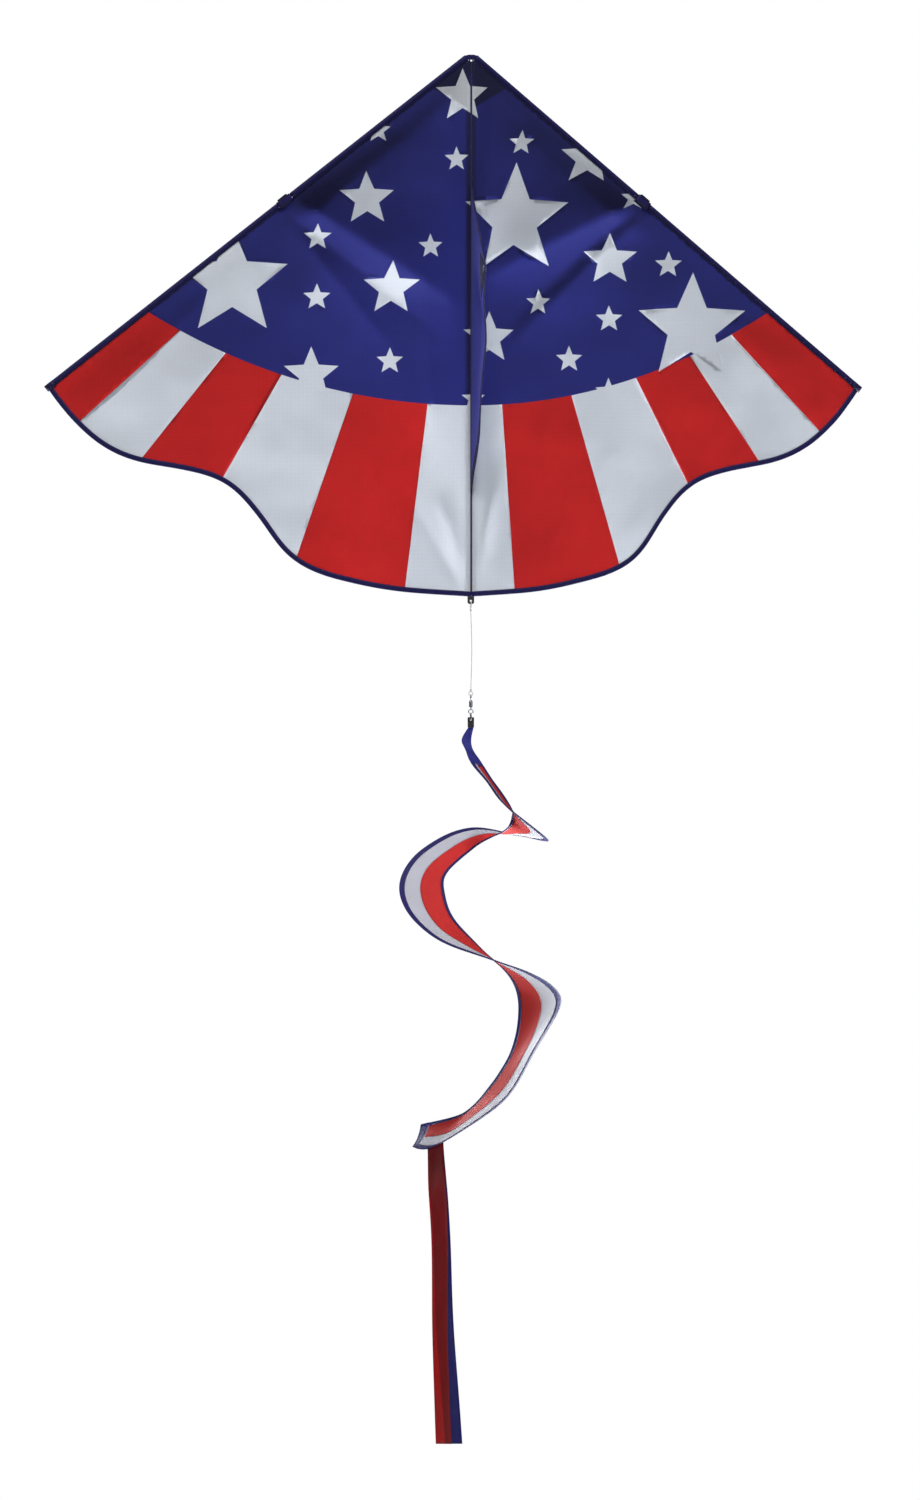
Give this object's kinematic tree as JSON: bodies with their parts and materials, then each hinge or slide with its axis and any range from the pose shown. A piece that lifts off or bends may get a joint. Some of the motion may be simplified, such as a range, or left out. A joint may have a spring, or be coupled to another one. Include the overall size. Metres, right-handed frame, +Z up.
{
  "type": "delta kite",
  "caption": "Triangular keeled kite with scalloped trailing edge, star and stripe sail, folding wings, clip-on spreader, swivelling spiral spinner tail and ribbon streamers.",
  "frame": {"origin": "centre of the tow eyelet in the keel, where the flying line ties on", "axes": "+Z up along the spine towards the nose, -Y the front that faces the flyer, +X to the right of the kite seen from the front, along the eyelet's bore"},
  "size_m": [1.2258, 0.34, 2.0588],
  "materials": {
    "sail_cloth": "matte ripstop cloth",
    "navy_binding": "matte ripstop cloth",
    "keel_cloth": "matte ripstop cloth",
    "rod": "pultruded glass fibre",
    "vinyl": "soft vinyl",
    "moulded_black": "moulded, satin",
    "eyelet_metal": "nickel plate",
    "line": "braided cord",
    "swivel_steel": "plated",
    "white_cloth": "matte ripstop cloth",
    "red_cloth": "matte ripstop cloth",
    "red_ribbon": "matte ripstop cloth",
    "blue_ribbon": "matte ripstop cloth"
  },
  "bodies": {
    "keel": {"keel_panel": "keel_cloth", "keel_binding_upper": "navy_binding", "keel_binding_lower": "navy_binding", "tow_patches": "navy_binding", "tow_eyelet": "eyelet_metal", "tow_eyelet_washer": "eyelet_metal"},
    "spine": {"spine_rod": "rod", "spine_pocket": "navy_binding", "spine_top_cap": "vinyl", "spine_end_cap": "moulded_black"},
    "left_wing": {"sail_left": "sail_cloth", "trailing_binding_left": "navy_binding", "leading_pocket_left": "navy_binding", "leading_spar_left": "rod", "spar_end_caps_left": "vinyl", "spar_sleeve_left": "vinyl", "nose_patch_left": "navy_binding"},
    "right_wing": {"sail_right": "sail_cloth", "trailing_binding_right": "navy_binding", "leading_pocket_right": "navy_binding", "leading_spar_right": "rod", "spar_end_caps_right": "vinyl", "spar_sleeve_right": "vinyl", "nose_patch_right": "navy_binding"},
    "spreader": {"spreader_rod": "rod", "spreader_clip_left": "moulded_black", "spreader_clip_right": "moulded_black"},
    "tail_cord": {"tail_loop_upper": "line", "tail_line": "line", "tail_loop_lower": "line", "swivel_upper_eye": "swivel_steel", "swivel_barrel": "swivel_steel"},
    "spinner": {"swivel_lower_eye": "swivel_steel", "split_ring": "swivel_steel", "spiral_head": "moulded_black", "spiral_neck": "navy_binding", "spiral_white_strip": "white_cloth", "spiral_red_strip": "red_cloth", "spiral_outer_binding": "navy_binding", "spiral_inner_binding": "navy_binding", "spiral_end_hem": "navy_binding"},
    "red_streamer": {"streamer_red": "red_ribbon"},
    "blue_streamer": {"streamer_blue": "blue_ribbon"}
  },
  "joints": [
    {"name": "keel_swing", "type": "hinge", "parent": "keel", "child": "spine", "pos_m": [0, 0.138, 0], "axis": [0, 0, 1], "range_deg": [-12, 12]},
    {"name": "left_wing_fold", "type": "hinge", "parent": "spine", "child": "left_wing", "pos_m": [0, 0.138, 0], "axis": [0, 0, 1], "range_deg": [0, 82]},
    {"name": "right_wing_fold", "type": "hinge", "parent": "spine", "child": "right_wing", "pos_m": [0, 0.138, 0], "axis": [0, 0, -1], "range_deg": [0, 82]},
    {"name": "spreader_release", "type": "slide", "parent": "spine", "child": "spreader", "axis": [0, 1, 0], "range_m": [0, 0.12]},
    {"name": "tail_swing", "type": "hinge", "parent": "spine", "child": "tail_cord", "pos_m": [0, 0.1432, -0.4916], "axis": [0, 1, 0], "range_deg": [-30, 30]},
    {"name": "spinner_turn", "type": "hinge", "parent": "tail_cord", "child": "spinner", "pos_m": [0, 0.1432, -0.65], "axis": [0, 0, 1], "continuous": true},
    {"name": "red_streamer_swing", "type": "hinge", "parent": "spinner", "child": "red_streamer", "pos_m": [-0.04, 0.2322, -1.3065], "axis": [0, 1, 0], "range_deg": [-12, 12]},
    {"name": "blue_streamer_swing", "type": "hinge", "parent": "spinner", "child": "blue_streamer", "pos_m": [-0.04, 0.2382, -1.3065], "axis": [0, 1, 0], "range_deg": [-12, 12]}
  ]
}
